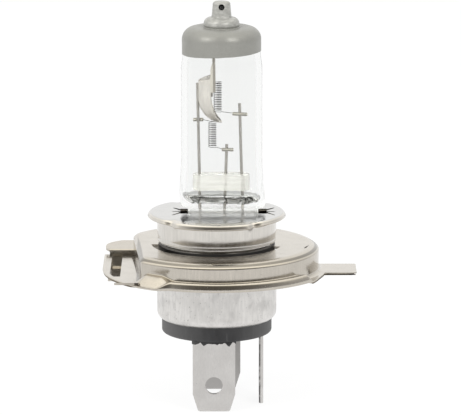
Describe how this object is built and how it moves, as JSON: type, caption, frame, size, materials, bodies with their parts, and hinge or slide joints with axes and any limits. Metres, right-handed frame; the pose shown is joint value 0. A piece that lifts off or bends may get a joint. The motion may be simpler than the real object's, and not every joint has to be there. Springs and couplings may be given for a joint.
{
  "type": "headlight bulb",
  "caption": "Twin-filament headlight bulb: clear quartz tube with an opaque top, metal prefocus cap with lugs, black insulator and blade terminals.",
  "frame": {"origin": "on the cap's axis, in the plane of the reference lug's upper face", "axes": "+Z along the cap's axis towards the tip of the glass, +X along the wide reference lug, +Y completes a right-handed frame"},
  "size_m": [0.048, 0.0432, 0.0767],
  "materials": {
    "quartz_glass": "clear, polished",
    "spacer_glass": "clear with a slight haze",
    "grey_coating": "satin grey",
    "tungsten_wire": "drawn, dull",
    "shield_sheet": "satin",
    "post_metal": "drawn, satin",
    "clamp_metal": "dull",
    "foil_metal": "dull",
    "cup_steel": "bright with fine upright brushing",
    "ring_steel": "bright with fine upright brushing",
    "sleeve_metal": "satin, faint upright streaks",
    "black_insulator": "matte",
    "blade_metal": "satin",
    "solder": "dull"
  },
  "bodies": {
    "root": {"glass_envelope": "quartz_glass", "top_coating": "grey_coating", "dipped_filament": "tungsten_wire", "main_filament": "tungsten_wire", "dipped_beam_shield": "shield_sheet", "dipped_coil_strip": "shield_sheet", "common_post": "post_metal", "dipped_post": "post_metal", "main_post": "post_metal", "common_clamp": "clamp_metal", "dipped_clamp": "clamp_metal", "main_clamp": "clamp_metal", "post_spacer": "spacer_glass", "common_foil": "foil_metal", "dipped_foil": "foil_metal", "main_foil": "foil_metal", "common_lead": "foil_metal", "dipped_lead": "foil_metal", "main_lead": "foil_metal", "pinch_clip": "cup_steel", "holder_cup": "cup_steel", "prefocus_ring": "ring_steel", "base_sleeve": "sleeve_metal", "insulator": "black_insulator", "common_blade": "blade_metal", "dipped_blade": "blade_metal", "main_blade": "blade_metal", "solder_joints": "solder"}
  },
  "joints": []
}
